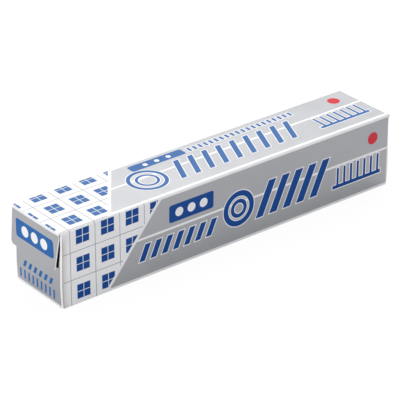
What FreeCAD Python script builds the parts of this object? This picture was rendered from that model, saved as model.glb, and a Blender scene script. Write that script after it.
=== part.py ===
import FreeCAD, Part
import math
import os
import Sketcher
from FreeCAD import Vector

# Boxed roll of aluminium foil: a folded carton with a hinged lid and a serrated
# cutter, and inside it a roll on a paper core that turns on two flanged reels.
# Millimetres. X runs along the roll, the hinge wall faces -Y, +Z is up, and the
# origin is the middle of the overall footprint, on the surface the carton stands on.

doc = FreeCAD.newDocument("BoxedFoilRoll")
sheet = doc.addObject("Spreadsheet::Sheet", "Sizes")

drivingSizes = [
    ("boardThickness", 0.4, "folded carton board"),
    ("foilWidth", 300.0, "width of the foil and length of its core"),
    ("foilDiameter", 51.0, "outside of the full roll"),
    ("coreDiameter", 32.0, "outside of the paper core"),
    ("coreWall", 1.5, "wall of the paper core"),
    ("coreFit", 0.02, "radial gap between the core and the first turn"),
    ("rimOverhang", 1.5, "flange of a guide reel, out beyond the full roll"),
    ("rimThickness", 1.8, "flange of a guide reel, along the roll"),
    ("rimRingWidth", 2.4, "raised ring round the flange"),
    ("rimRecess", 0.7, "how far the flange is sunk inside its ring"),
    ("hubLength", 18.0, "how far a reel's hub goes into the core"),
    ("hubWall", 1.6, "wall of a reel's hub"),
    ("hubBossWall", 2.0, "raised ring round a reel's middle hole"),
    ("hubBore", 12.0, "hole through the middle of a reel"),
    ("hubFit", 0.05, "radial gap between the hub's ribs and the core"),
    ("hubRibHeight", 0.8, "grip ribs on the hub"),
    ("hubRibWidth", 1.6, "grip ribs on the hub"),
    ("hubRibSetback", 3.0, "plain lead-in at the hub's end"),
    ("hubRibCount", 6, "grip ribs on the hub"),
    ("reelEndClearance", 1.4, "reel to the carton's end, along the roll"),
    ("reelSideClearance", 0.8, "reel to each long wall"),
    ("reelFloorClearance", 0.3, "reel to the carton's floor"),
    ("headroom", 4.9, "reel to the underside of the lid"),
    ("cornerRadius", 1.2, "outer radius of the upright folds at the ends"),
    ("foldRadius", 0.35, "outer radius of the long folds"),
    ("endPanelHeight", 31.0, "lower end panel, folded up from the floor"),
    ("endPanelInset", 2.2, "lower end panel, in from the hinge wall"),
    ("endPanelFarInset", 1.3, "lower end panel, in from the opening wall"),
    ("endPanelTaper", 1.0, "how much the end panel narrows at its foot"),
    ("endPanelTaperHeight", 6.0, "height of that narrowing"),
    ("dustFlapGap", 2.0, "gap between the two dust flaps behind an end panel"),
    ("dustFlapDrop", 1.5, "dust flap edge below the end panel's edge"),
    ("cornerLip", 0.7, "what is left of an end beside each fold, above the flaps"),
    ("openingWallDrop", 0.4, "opening wall's edge below the lid's underside"),
    ("lidClearance", 0.2, "lid flaps to the walls they cover"),
    ("hingeGap", 0.08, "opening in the mitre of the lid's crease"),
    ("lidFlapHeight", 32.0, "lid flaps, from the top of the carton down"),
    ("lidFlapFlare", 3.4, "how far the long flap stands out at its lower edge"),
    ("lidEndTopInset", 1.2, "end flap, in from the hinge wall at the top"),
    ("lidEndSlant", 7.0, "how much further in it is at its lower edge"),
    ("lidEarRadius", 3.5, "lower outer corner of an end flap"),
    ("lidTabLength", 16.0, "glued tab inside an end flap"),
    ("lidTabTrim", 2.5, "slope at the tab's top and foot"),
    ("bladeThickness", 0.2, "steel cutter strip"),
    ("bladeHeight", 9.0, "steel cutter strip, teeth included"),
    ("bladeReach", 1.6, "how far the teeth stand below the flap's edge"),
    ("toothPitch", 2.5, "cutter teeth"),
    ("toothDepth", 1.5, "cutter teeth"),
]
for row, (alias, number, note) in enumerate(drivingSizes, start=1):
    sheet.set(f"A{row}", note)
    sheet.set(f"B{row}", str(number))
    sheet.setAlias(f"B{row}", alias)
doc.recompute()


def size(alias):
    return f"Sizes.{alias}"


def value(expression):
    """The number that an expression of sheet sizes comes to."""
    result = sheet.evalExpression(expression)
    return float(getattr(result, "Value", result))


# Sizes worked out from the driving ones, as expressions that the features are bound to
board = size("boardThickness")
rimDiameter = f"({size('foilDiameter')} + 2 * {size('rimOverhang')})"
innerLength = (
    f"({size('foilWidth')} + 2 * {size('rimThickness')} + 2 * {size('reelEndClearance')})"
)
innerDepth = f"({rimDiameter} + 2 * {size('reelSideClearance')})"
bodyDepth = f"({innerDepth} + 2 * {board})"
totalHeight = (
    f"(2 * {board} + {size('reelFloorClearance')} + {rimDiameter} + {size('headroom')})"
)
ringEnd = f"({innerLength} / 2 + {board})"
panelEnd = f"({ringEnd} + {board})"
flapStart = f"({panelEnd} + {size('lidClearance')} + {board})"
flapEnd = f"({flapStart} + {board})"
lidDepth = f"({bodyDepth} + {size('lidClearance')} + {board})"
totalDepth = f"({lidDepth} + {size('lidFlapFlare')})"
hingeY = f"(-{totalDepth} / 2)"
openingY = f"({hingeY} + {bodyDepth})"
lidY = f"({hingeY} + {lidDepth})"
lidUnderside = f"({totalHeight} - {board})"
lidFootZ = f"({totalHeight} - {size('lidFlapHeight')})"
flapSlope = f"({size('lidFlapFlare')} / {size('lidFlapHeight')})"
rollY = f"({hingeY} + {bodyDepth} / 2)"
rollZ = f"({board} + {size('reelFloorClearance')} + {rimDiameter} / 2)"
coreBore = f"({size('coreDiameter')} - 2 * {size('coreWall')})"
acrossAll = f"(2 * {flapEnd} + 2 * {board})"

sides = (("Left", "-"), ("Right", "+"))


def newBody(label):
    body = doc.addObject("PartDesign::Body", label)
    body.Label = label
    return body


def newSketch(body, name, role, offset=None):
    """A sketch on one of the body's own origin planes, moved along that plane's normal."""
    sketch = body.newObject("Sketcher::SketchObject", name)
    plane = next(feature for feature in body.Origin.OriginFeatures if feature.Role == role)
    sketch.AttachmentSupport = [(plane, "")]
    sketch.MapMode = "FlatFace"
    if offset is not None:
        sketch.setExpression(".AttachmentOffset.Base.z", offset)
    return sketch


def holdPoint(sketch, geometry, end, across, up):
    """Ties one point of a sketch to two expressions, measured from the sketch's origin."""
    for kind, expression in (("DistanceX", across), ("DistanceY", up)):
        limit = Sketcher.Constraint(kind, -1, 1, geometry, end, value(expression))
        index = sketch.addConstraint(limit)
        sketch.setExpression(f"Constraints[{index}]", expression)


def drawOutline(sketch, corners):
    """A closed outline of straight lines through corners given as pairs of expressions."""
    places = [Vector(value(across), value(up), 0) for across, up in corners]
    count = len(corners)
    for index in range(count):
        line = Part.LineSegment(places[index], places[(index + 1) % count])
        sketch.addGeometry(line, False)
    for index in range(count):
        following = (index + 1) % count
        sketch.addConstraint(Sketcher.Constraint("Coincident", index, 2, following, 1))
    for index, (across, up) in enumerate(corners):
        holdPoint(sketch, index, 1, across, up)


def drawRectangle(sketch, low, high):
    drawOutline(sketch, [low, (high[0], low[1]), high, (low[0], high[1])])


def drawCircle(sketch, diameter):
    """A circle round the sketch's origin."""
    circle = Part.Circle(Vector(0, 0, 0), Vector(0, 0, 1), value(diameter) / 2)
    index = sketch.addGeometry(circle, False)
    sketch.addConstraint(Sketcher.Constraint("Coincident", index, 3, -1, 1))
    limit = sketch.addConstraint(Sketcher.Constraint("Diameter", index, value(diameter)))
    sketch.setExpression(f"Constraints[{limit}]", diameter)


def extrude(body, kind, name, sketch, length, symmetric=False, reverse=False):
    """A Pad or Pocket whose length is an expression, checked to add or remove material."""
    before = body.Shape.Volume if body.Tip else 0.0
    feature = body.newObject(f"PartDesign::{kind}", name)
    feature.Profile = sketch
    feature.setExpression("Length", length)
    if symmetric:
        feature.SideType = "Symmetric"
    feature.Reversed = reverse
    doc.recompute()
    change = body.Shape.Volume - before
    if abs(change) < 1e-6 or (change > 0) != (kind == "Pad"):
        raise RuntimeError(f"{body.Label} {name} changed the volume by {change:.6f}")
    return feature


def straightEdges(body, wanted):
    """The names of the straight edges whose middle point and direction pass a test."""
    names = []
    for index, edge in enumerate(body.Shape.Edges, start=1):
        ends = [vertex.Point for vertex in edge.Vertexes]
        if len(ends) == 2 and edge.Curve.TypeId == "Part::GeomLine":
            if wanted((ends[0] + ends[1]) / 2, (ends[1] - ends[0]).normalize()):
                names.append(f"Edge{index}")
    return names


def roundEdges(body, name, names, radius):
    base = body.Tip
    fillet = body.newObject("PartDesign::Fillet", name)
    fillet.Base = (base, names)
    fillet.setExpression("Radius", radius)
    doc.recompute()
    return fillet


def near(first, second):
    return abs(first - second) < 1e-4


# Carton body: walls and dust flaps are one ring of board on a floor, and the lower
# end panels are folded up from the floor over the dust flaps
def makeCartonBody():
    body = newBody("carton_body")
    walls = newSketch(body, "WallOutline", "XY_Plane")
    drawRectangle(walls, (f"-{ringEnd}", hingeY), (ringEnd, openingY))
    extrude(body, "Pad", "Block", walls, totalHeight)
    upright = straightEdges(body, lambda middle, along: abs(along.z) > 0.99)
    roundEdges(body, "UprightFolds", upright, size("cornerRadius"))

    inside = newSketch(body, "InsideOutline", "XY_Plane", totalHeight)
    low = (f"-{innerLength} / 2", f"{hingeY} + {board}")
    high = (f"{innerLength} / 2", f"{openingY} - {board}")
    drawRectangle(inside, low, high)
    extrude(body, "Pocket", "Inside", inside, lidUnderside)
    innerX = value(innerLength) / 2
    inner = straightEdges(
        body, lambda middle, along: abs(along.z) > 0.99 and near(abs(middle.x), innerX)
    )
    roundEdges(body, "InnerFolds", inner, f"{size('cornerRadius')} - {board}")
    foot = straightEdges(
        body, lambda middle, along: near(middle.z, 0) and abs(along.x) > 0.99
    )
    roundEdges(body, "LongFolds", foot, size("foldRadius"))

    # Above the dust flaps the ends are open, apart from a narrow lip at each fold
    lip = f"({size('cornerRadius')} + {size('cornerLip')})"
    flapTop = f"({size('endPanelHeight')} - {size('dustFlapDrop')})"
    above = f"({totalHeight} + {board})"
    opening = newSketch(body, "EndOpeningOutline", "YZ_Plane")
    drawRectangle(opening, (f"{hingeY} + {lip}", flapTop), (f"{openingY} - {lip}", above))
    extrude(body, "Pocket", "EndOpenings", opening, acrossAll, symmetric=True)
    gap = newSketch(body, "DustFlapGapOutline", "YZ_Plane")
    halfGap = f"{size('dustFlapGap')} / 2"
    drawRectangle(gap, (f"{rollY} - {halfGap}", board), (f"{rollY} + {halfGap}", flapTop))
    extrude(body, "Pocket", "DustFlapGaps", gap, acrossAll, symmetric=True)

    # The hinge wall ends in a mitre under the crease, the opening wall below the lid
    top = newSketch(body, "TopEdgeOutline", "YZ_Plane")
    mitreFoot = f"({lidUnderside} - {size('hingeGap')})"
    drawOutline(
        top,
        [
            (f"{hingeY} - {board}", f"{mitreFoot} + 2 * {board}"),
            (f"{hingeY} + {board}", mitreFoot),
            (f"{hingeY} + {lip}", f"{lidUnderside} - {size('openingWallDrop')}"),
            (f"{openingY} + {board}", f"{lidUnderside} - {size('openingWallDrop')}"),
            (f"{openingY} + {board}", f"{above} + 2 * {board}"),
            (f"{hingeY} - {board}", f"{above} + 2 * {board}"),
        ],
    )
    extrude(body, "Pocket", "TopEdges", top, acrossAll, symmetric=True)

    nearY = f"({hingeY} + {size('endPanelInset')})"
    farY = f"({openingY} - {size('endPanelFarInset')})"
    for word, sign in sides:
        panel = newSketch(body, f"{word}EndPanelOutline", "YZ_Plane", f"{sign}{ringEnd}")
        drawOutline(
            panel,
            [
                (f"{nearY} + {size('endPanelTaper')}", "0"),
                (f"{farY} - {size('endPanelTaper')}", "0"),
                (farY, size("endPanelTaperHeight")),
                (farY, size("endPanelHeight")),
                (nearY, size("endPanelHeight")),
                (nearY, size("endPanelTaperHeight")),
            ],
        )
        extrude(body, "Pad", f"{word}EndPanel", panel, board, reverse=(sign == "-"))
    outerX = value(panelEnd)
    endFolds = straightEdges(
        body, lambda middle, along: near(middle.z, 0) and near(abs(middle.x), outerX)
    )
    roundEdges(body, "EndFolds", endFolds, size("foldRadius"))
    return body


# Carton lid: top panel, a long flap that flares over the opening wall, and two end
# flaps with slanted edges beside the hinge and a glued tab inside each
def makeCartonLid():
    body = newBody("carton_lid")
    flapStartY = f"({hingeY} + {size('lidEndTopInset')})"
    flareY = f"({lidY} + {size('lidFlapFlare')})"
    ends = newSketch(body, "EndFlapOutline", "YZ_Plane")
    drawOutline(
        ends,
        [
            (flapStartY, totalHeight),
            (f"{flapStartY} + {size('lidEndSlant')}", lidFootZ),
            (flareY, lidFootZ),
            (lidY, totalHeight),
        ],
    )
    extrude(body, "Pad", "EndFlapBlock", ends, f"2 * {flapEnd}", symmetric=True)
    flareFoot = Vector(0, value(flareY), value(lidFootZ))
    ears = straightEdges(
        body,
        lambda middle, along: abs(along.x) > 0.99
        and near(middle.y, flareFoot.y)
        and near(middle.z, flareFoot.z),
    )
    roundEdges(body, "Ears", ears, size("lidEarRadius"))
    topZ = value(totalHeight)
    endCreases = straightEdges(
        body, lambda middle, along: near(middle.z, topZ) and abs(along.y) > 0.99
    )
    roundEdges(body, "EndCreases", endCreases, size("foldRadius"))
    between = newSketch(body, "BetweenEndFlaps", "XZ_Plane")
    low = (f"-{flapStart}", f"{lidFootZ} - {board}")
    drawRectangle(between, low, (flapStart, lidUnderside))
    extrude(body, "Pocket", "BetweenFlaps", between, f"2 * {totalDepth}", symmetric=True)

    lidSheet = newSketch(body, "LidSheetOutline", "YZ_Plane")
    drawOutline(
        lidSheet,
        [
            (hingeY, totalHeight),
            (f"{hingeY} + {board}", lidUnderside),
            (f"{lidY} - {board} + {flapSlope} * {board}", lidUnderside),
            (f"{flareY} - {board}", lidFootZ),
            (flareY, lidFootZ),
            (lidY, totalHeight),
        ],
    )
    extrude(body, "Pad", "LidSheet", lidSheet, f"2 * {flapStart}", symmetric=True)

    # The long flap's lower corners are cut off beside the ears
    for word, sign in sides:
        corner = newSketch(body, f"{word}FlapCorner", "XZ_Plane", f"-{openingY}")
        cutStart = f"{sign}({flapStart} - {size('lidEarRadius')})"
        below = f"({lidFootZ} - {board})"
        drawOutline(
            corner,
            [
                (cutStart, below),
                (cutStart, lidFootZ),
                (f"{sign}{flapStart}", f"{lidFootZ} + {size('lidEarRadius')}"),
                (f"{sign}{flapStart}", below),
            ],
        )
        extrude(body, "Pocket", f"{word}CornerCut", corner, f"{totalDepth} - {bodyDepth} + {board}")

    # Glued tabs, joined to the long flap and lying inside the end flaps
    tabFoot = f"({lidFootZ} + {size('lidEarRadius')} + {board})"
    tabTop = f"({lidUnderside} - {board})"
    tabY = f"({lidY} - {size('lidTabLength')})"
    for word, sign in sides:
        tab = newSketch(body, f"{word}TabOutline", "YZ_Plane", f"{sign}{flapStart}")
        flapMiddle = f"{lidY} - {board} / 2"
        drawOutline(
            tab,
            [
                (f"{flapMiddle} + {flapSlope} * ({totalHeight} - {tabTop})", tabTop),
                (tabY, f"{tabTop} - {size('lidTabTrim')}"),
                (tabY, f"{tabFoot} + {size('lidTabTrim')}"),
                (f"{flapMiddle} + {flapSlope} * ({totalHeight} - {tabFoot})", tabFoot),
            ],
        )
        extrude(body, "Pad", f"{word}Tab", tab, board, reverse=(sign == "+"))
    creaseY = value(lidY)
    longCrease = straightEdges(
        body,
        lambda middle, along: abs(along.x) > 0.99
        and near(middle.z, topZ)
        and near(middle.y, creaseY),
    )
    roundEdges(body, "LongCrease", longCrease, size("foldRadius"))
    return body


# Cutter blade: a steel strip with triangular teeth, on the inside of the long flap.
# It is drawn upright with its tooth tips at the origin's level, and leans as the flap does
def makeCutterBlade():
    body = newBody("cutter_blade")
    half = f"({size('foilWidth')} / 2)"
    pitch = size("toothPitch")
    strip = newSketch(body, "StripOutline", "XZ_Plane")
    drawRectangle(strip, (f"-{half}", "0"), (half, size("bladeHeight")))
    extrude(body, "Pad", "Strip", strip, size("bladeThickness"))
    notch = newSketch(body, "NotchOutline", "XZ_Plane")
    below = f"-{size('toothDepth')}"
    drawOutline(
        notch,
        [
            (f"-{half} - {pitch} / 2", below),
            (f"-{half} + {pitch} / 2", below),
            (f"-{half} + {pitch} / 2", "0"),
            (f"-{half}", size("toothDepth")),
            (f"-{half} - {pitch} / 2", "0"),
        ],
    )
    thickness = f"4 * {size('bladeThickness')}"
    cut = extrude(body, "Pocket", "Notch", notch, thickness, symmetric=True)
    teeth = body.newObject("PartDesign::LinearPattern", "Teeth")
    teeth.Originals = [cut]
    teeth.Direction = (notch, ["H_Axis"])
    teeth.setExpression("Length", f"floor({size('foilWidth')} / {pitch}) * {pitch}")
    teeth.Occurrences = int(value(size("foilWidth")) // value(pitch)) + 1
    body.Tip = teeth
    doc.recompute()
    reach = size("bladeReach")
    tipDepth = f"({size('lidFlapHeight')} + {reach})"
    lean = math.degrees(math.atan(value(flapSlope)))
    body.Placement = FreeCAD.Placement(Vector(0, 0, 0), FreeCAD.Rotation(Vector(1, 0, 0), lean))
    body.setExpression(".Placement.Base.y", f"{lidY} - {board} + {flapSlope} * {tipDepth}")
    body.setExpression(".Placement.Base.z", f"{lidFootZ} - {reach}")
    doc.recompute()
    return body


def seatOnRollAxis(body):
    """Moves a piece that was drawn round the X axis to the roll's place in the carton."""
    body.setExpression(".Placement.Base.y", rollY)
    body.setExpression(".Placement.Base.z", rollZ)
    doc.recompute()


# Foil roll and paper core: plain tubes on the roll's axis
def makeTube(label, outer, inner):
    body = newBody(label)
    ring = newSketch(body, f"{label}_section", "YZ_Plane")
    drawCircle(ring, outer)
    drawCircle(ring, inner)
    extrude(body, "Pad", f"{label}_wall", ring, size("foilWidth"), symmetric=True)
    seatOnRollAxis(body)
    return body


# Guide reel: a flange with a raised ring and a boss, and a ribbed hub that plugs into
# the core. The left and the right one are mirror images
def makeGuideReel(word, sign):
    label = f"guide_reel_{word.lower()}"
    body = newBody(label)
    toLeft = sign == "-"
    coreEnd = f"{sign}{size('foilWidth')} / 2"
    flangeEnd = f"{sign}({size('foilWidth')} / 2 + {size('rimThickness')})"
    ribOuter = f"({coreBore} / 2 - {size('hubFit')})"
    barrel = f"({ribOuter} - {size('hubRibHeight')})"

    disc = newSketch(body, f"{word}FlangeOutline", "YZ_Plane", coreEnd)
    drawCircle(disc, rimDiameter)
    drawCircle(disc, size("hubBore"))
    extrude(body, "Pad", f"{word}Flange", disc, size("rimThickness"), reverse=toLeft)
    recess = newSketch(body, f"{word}RecessOutline", "YZ_Plane", flangeEnd)
    drawCircle(recess, f"{rimDiameter} - 2 * {size('rimRingWidth')}")
    drawCircle(recess, f"{size('hubBore')} + 2 * {size('hubBossWall')}")
    extrude(body, "Pocket", f"{word}Recess", recess, size("rimRecess"), reverse=toLeft)
    tube = newSketch(body, f"{word}HubOutline", "YZ_Plane", coreEnd)
    drawCircle(tube, f"2 * {barrel}")
    drawCircle(tube, f"2 * ({barrel} - {size('hubWall')})")
    extrude(body, "Pad", f"{word}Hub", tube, size("hubLength"), reverse=not toLeft)

    rib = newSketch(body, f"{word}RibOutline", "YZ_Plane", coreEnd)
    halfRib = f"{size('hubRibWidth')} / 2"
    drawRectangle(rib, (f"-{halfRib}", f"{barrel} - {size('hubWall')} / 2"), (halfRib, ribOuter))
    ribLength = f"{size('hubLength')} - {size('hubRibSetback')}"
    firstRib = extrude(body, "Pad", f"{word}Rib", rib, ribLength, reverse=not toLeft)
    ribs = body.newObject("PartDesign::PolarPattern", f"{word}Ribs")
    ribs.Originals = [firstRib]
    ribs.Axis = (rib, ["N_Axis"])
    ribs.Angle = 360
    ribs.setExpression("Occurrences", size("hubRibCount"))
    body.Tip = ribs
    seatOnRollAxis(body)
    return body


pieces = [
    makeCartonBody(),
    makeCartonLid(),
    makeCutterBlade(),
    makeTube("foil_roll", size("foilDiameter"), f"{size('coreDiameter')} + 2 * {size('coreFit')}"),
    makeTube("paper_core", size("coreDiameter"), coreBore),
]
pieces += [makeGuideReel(word, sign) for word, sign in sides]

doc.recompute()
for member in doc.Objects:
    if "Invalid" in member.State or "Error" in member.State:
        raise RuntimeError(f"{member.Label} failed: {member.State}")
for piece in pieces:
    if piece.Shape.isNull() or not piece.Shape.isValid():
        raise RuntimeError(f"{piece.Label} has no valid shape")

os.makedirs("parts", exist_ok=True)
for piece in pieces:
    piece.Shape.exportStep(f"parts/{piece.Label}.step")
    box = piece.Shape.BoundBox
    print(
        f"{piece.Label:18s} {len(piece.Shape.Solids)} solid {piece.Shape.Volume:12.1f} mm3"
        f"  x {box.XMin:8.2f} {box.XMax:8.2f}  y {box.YMin:7.2f} {box.YMax:7.2f}"
        f"  z {box.ZMin:7.2f} {box.ZMax:7.2f}"
    )
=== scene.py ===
import bmesh
import bpy
import math
import numpy as np
from mathutils import Matrix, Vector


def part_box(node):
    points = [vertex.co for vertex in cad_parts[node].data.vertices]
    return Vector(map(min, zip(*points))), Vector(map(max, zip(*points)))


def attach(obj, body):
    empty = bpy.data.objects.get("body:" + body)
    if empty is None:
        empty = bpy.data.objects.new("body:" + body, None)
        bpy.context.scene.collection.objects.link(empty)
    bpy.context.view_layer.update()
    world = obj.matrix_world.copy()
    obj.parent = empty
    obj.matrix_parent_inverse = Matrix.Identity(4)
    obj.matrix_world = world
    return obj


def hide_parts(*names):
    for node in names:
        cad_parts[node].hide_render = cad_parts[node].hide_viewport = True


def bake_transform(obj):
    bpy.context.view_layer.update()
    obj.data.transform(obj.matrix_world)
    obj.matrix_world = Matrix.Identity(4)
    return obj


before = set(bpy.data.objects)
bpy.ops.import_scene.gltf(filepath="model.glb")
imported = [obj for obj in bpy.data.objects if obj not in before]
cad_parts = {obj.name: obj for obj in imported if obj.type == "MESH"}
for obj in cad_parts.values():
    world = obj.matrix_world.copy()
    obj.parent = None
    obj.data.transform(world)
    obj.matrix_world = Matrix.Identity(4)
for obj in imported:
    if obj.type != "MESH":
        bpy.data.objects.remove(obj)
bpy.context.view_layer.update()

# A boxed roll of aluminium foil. Metres; X runs along the roll, the hinge wall faces -Y
mm = 0.001
quarterTurn = math.pi / 2


beside = 0.3 * mm  # a row of points this far from a fold keeps its edge crisp


# Helpers for shapes

def stepsBetween(stops, spacing):
    # Every stop is kept, and each gap between two stops is divided evenly
    runs = [np.linspace(low, high, max(2, math.ceil((high - low) / spacing) + 1))
            for low, high in zip(stops[:-1], stops[1:])]
    return np.unique(np.round(np.concatenate(runs), 8))


def mirrored(values):
    # Distances from the middle, on both sides of it
    return np.unique(np.concatenate([-values, values]))


def smoothStep(values):
    held = np.clip(values, 0.0, 1.0)
    return held * held * (3.0 - 2.0 * held)


def rollOver(distance, radius, turn=quarterTurn):
    # A sheet bent round a fold: straight up to distance 0, then an arc of the given
    # radius, then straight on. Returns how far along and how far down it has come
    angle = np.clip(distance / radius, 0.0, turn)
    beyond = np.maximum(distance - radius * turn, 0.0)
    along = np.minimum(distance, 0.0) + radius * np.sin(angle) + beyond * math.cos(turn)
    down = radius * (1.0 - np.cos(angle)) + beyond * math.sin(turn)
    return along, down


def gridMesh(name, points, keep=None, slots=None, flip=False, closeRows=False):
    # A grid of points made a mesh: each kept cell is one face
    rows, columns = points.shape[:2]
    index = np.arange(rows * columns).reshape(rows, columns)
    if closeRows:
        index = np.vstack([index, index[:1]])
    cells = np.stack([index[:-1, :-1], index[:-1, 1:], index[1:, 1:], index[1:, :-1]], axis=-1)
    if flip:
        cells = cells[..., ::-1]
    if keep is None:
        keep = np.ones(cells.shape[:2], dtype=bool)
    used, faces = np.unique(cells[keep], return_inverse=True)
    mesh = bpy.data.meshes.new(name)
    mesh.from_pydata(points.reshape(-1, 3)[used].tolist(), [], faces.reshape(-1, 4).tolist())
    mesh.polygons.foreach_set("use_smooth", np.ones(len(mesh.polygons), dtype=bool))
    if slots is not None:
        mesh.polygons.foreach_set("material_index", slots[keep].astype(np.int32))
    mesh.update()
    return mesh


def addPiece(name, mesh, materials, body, replaced=None):
    piece = bpy.data.objects.new(name, mesh)
    bpy.context.scene.collection.objects.link(piece)
    for material in materials:
        piece.data.materials.append(material)
    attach(piece, body)
    if replaced:
        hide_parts(replaced)
    return piece


# Helpers for materials

def linearColour(red, green, blue):
    # From 0 to 255 as seen on a screen, to the linear values that a shader takes
    seen = np.array([red, green, blue]) / 255.0
    linear = np.where(seen <= 0.04045, seen / 12.92, ((seen + 0.055) / 1.055) ** 2.4)
    return (*linear.tolist(), 1.0)


def feed(tree, given, socket):
    # A socket is linked, and a number or a colour is set
    if isinstance(given, bpy.types.NodeSocket):
        tree.links.new(given, socket)
    elif given is not None:
        socket.default_value = given


def reckon(tree, operation, *given, clamp=False):
    node = tree.nodes.new("ShaderNodeMath")
    node.operation = operation
    node.use_clamp = clamp
    for value, socket in zip(given, node.inputs):
        feed(tree, value, socket)
    return node.outputs[0]


def times(tree, *given, clamp=False):
    return reckon(tree, "MULTIPLY", *given, clamp=clamp)


def minus(tree, *given, clamp=False):
    return reckon(tree, "SUBTRACT", *given, clamp=clamp)


def stepAt(tree, value, start):
    # From 0 to 1 over the quarter of a millimetre past the start
    return times(tree, minus(tree, value, start), 4.0, clamp=True)


def mixColours(tree, mask, first, second):
    node = tree.nodes.new("ShaderNodeMix")
    node.data_type = "RGBA"
    feed(tree, mask, node.inputs[0])
    feed(tree, first, node.inputs[6])
    feed(tree, second, node.inputs[7])
    return node.outputs[2]


def noiseField(tree, place, scale, detail=3.0, roughness=0.55, stretch=None):
    if stretch is not None:
        mapping = tree.nodes.new("ShaderNodeMapping")
        feed(tree, place, mapping.inputs["Vector"])
        mapping.inputs["Scale"].default_value = stretch
        place = mapping.outputs[0]
    node = tree.nodes.new("ShaderNodeTexNoise")
    feed(tree, place, node.inputs["Vector"])
    node.inputs["Scale"].default_value = scale
    node.inputs["Detail"].default_value = detail
    node.inputs["Roughness"].default_value = roughness
    return node.outputs["Fac"]


def remap(tree, value, low, high, toLow=0.0, toHigh=1.0):
    node = tree.nodes.new("ShaderNodeMapRange")
    for given, socket in zip((value, low, high, toLow, toHigh), node.inputs):
        feed(tree, given, socket)
    return node.outputs[0]


def bumpNormal(tree, height, strength, distance, normal=None):
    node = tree.nodes.new("ShaderNodeBump")
    node.inputs["Strength"].default_value = strength
    node.inputs["Distance"].default_value = distance
    feed(tree, height, node.inputs["Height"])
    feed(tree, normal, node.inputs["Normal"])
    return node.outputs[0]


def newGroup(name, inputs, outputs):
    # inputs holds (name, kind, value); a kind is Float or Vector
    group = bpy.data.node_groups.new(name, "ShaderNodeTree")
    for label, kind, given in inputs:
        socket = group.interface.new_socket(label, in_out="INPUT", socket_type=f"NodeSocket{kind}")
        if kind == "Float":
            socket.default_value = given
    for label, kind in outputs:
        group.interface.new_socket(label, in_out="OUTPUT", socket_type=f"NodeSocket{kind}")
    source = group.nodes.new("NodeGroupInput").outputs
    target = group.nodes.new("NodeGroupOutput").inputs
    return group, source, target


def useGroup(tree, group, **given):
    node = tree.nodes.new("ShaderNodeGroup")
    node.node_tree = group
    for label, value in given.items():
        feed(tree, value, node.inputs[label])
    return node.outputs


def maskOf(tree, group, **given):
    return useGroup(tree, group, **given)["Mask"]


def newMaterial(name):
    material = bpy.data.materials.new(name)
    material.use_nodes = True
    tree = material.node_tree
    shader = tree.nodes["Principled BSDF"]
    place = tree.nodes.new("ShaderNodeTexCoord").outputs["Object"]
    return material, tree, shader.inputs, place


# Effects shared by several materials, each in its own node group

def makeStripe():
    # 1 where a position is within half a width of the middle, with soft edges
    group, source, target = newGroup(
        "stripe",
        [("Position", "Float", 0.0), ("Middle", "Float", 0.0),
         ("Half", "Float", 1.0), ("Soft", "Float", 0.25)],
        [("Mask", "Float")])
    away = reckon(group, "ABSOLUTE", minus(group, source["Position"], source["Middle"]))
    inside = reckon(group, "DIVIDE", minus(group, source["Half"], away), source["Soft"])
    feed(group, reckon(group, "ADD", inside, 0.5, clamp=True), target["Mask"])
    return group


def maskBetween(tree, stripe, place, low, high):
    # The stripe between two places
    middle = times(tree, reckon(tree, "ADD", low, high), 0.5)
    half = times(tree, minus(tree, high, low), 0.5)
    return maskOf(tree, stripe, Position=place, Middle=middle, Half=half)


def makeRoundedPlate():
    # Distance to a rectangle with rounded corners, made a mask
    group, source, target = newGroup(
        "roundedPlate",
        [("Across", "Float", 0.0), ("Up", "Float", 0.0), ("MiddleAcross", "Float", 0.0),
         ("MiddleUp", "Float", 0.0), ("HalfWidth", "Float", 5.0), ("HalfHeight", "Float", 5.0),
         ("Radius", "Float", 1.0), ("Soft", "Float", 0.25)],
        [("Mask", "Float")])
    squares = []
    for place, middle, half in (("Across", "MiddleAcross", "HalfWidth"),
                                ("Up", "MiddleUp", "HalfHeight")):
        away = reckon(group, "ABSOLUTE", minus(group, source[place], source[middle]))
        core = minus(group, source[half], source["Radius"])
        out = reckon(group, "MAXIMUM", minus(group, away, core), 0.0)
        squares.append(reckon(group, "POWER", out, 2.0))
    reach = reckon(group, "SQRT", reckon(group, "ADD", *squares))
    inside = minus(group, source["Radius"], reach)
    inside = reckon(group, "DIVIDE", inside, source["Soft"])
    feed(group, reckon(group, "ADD", inside, 0.5, clamp=True), target["Mask"])
    return group


def makeRing(stripe):
    # A circle line; a Radius of 0 with a wide Half makes a disc
    group, source, target = newGroup(
        "ring",
        [("Across", "Float", 0.0), ("Up", "Float", 0.0), ("MiddleAcross", "Float", 0.0),
         ("MiddleUp", "Float", 0.0), ("Radius", "Float", 0.0), ("Half", "Float", 1.0)],
        [("Mask", "Float")])
    squares = [reckon(group, "POWER", minus(group, source[place], source[middle]), 2.0)
               for place, middle in (("Across", "MiddleAcross"), ("Up", "MiddleUp"))]
    reach = reckon(group, "SQRT", reckon(group, "ADD", *squares))
    mask = useGroup(group, stripe, Position=reach, Middle=source["Radius"], Half=source["Half"])
    feed(group, mask["Mask"], target["Mask"])
    return group


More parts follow.
